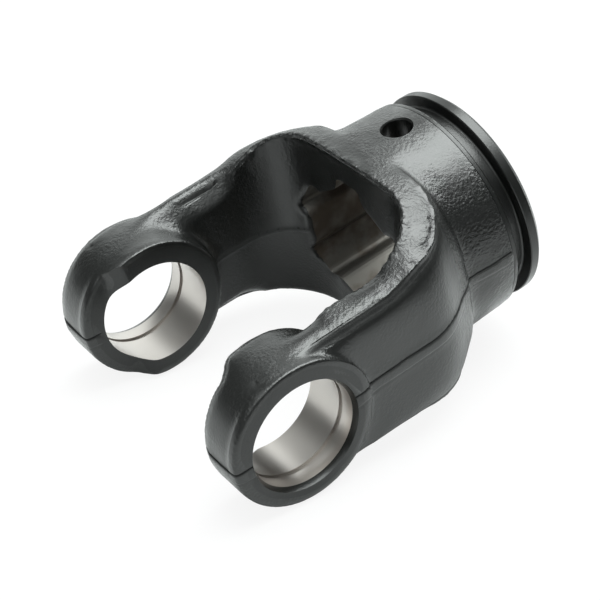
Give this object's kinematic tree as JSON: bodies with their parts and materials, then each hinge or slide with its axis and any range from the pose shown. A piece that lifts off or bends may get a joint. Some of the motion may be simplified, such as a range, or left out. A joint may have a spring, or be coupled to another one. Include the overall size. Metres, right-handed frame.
{
  "type": "forged yoke",
  "caption": "Forged fork-shaped joint yoke with bored ears for a cardan cross and a lobed hub socket for a profile tube.",
  "frame": {"origin": "joint centre, where the shaft axis meets the axis of the cross bores, midway between the ears", "axes": "+X along the shaft axis from the joint centre to the hub's flanged end, +Y along the cross bores towards one ear, +Z square to both and out of the pin hole; z = 0 is the forging's parting plane"},
  "size_m": [0.1316, 0.1066, 0.0766],
  "materials": {
    "yoke": "satin black coat on forged steel"
  },
  "bodies": {
    "root": {"yoke": "yoke"}
  },
  "joints": []
}
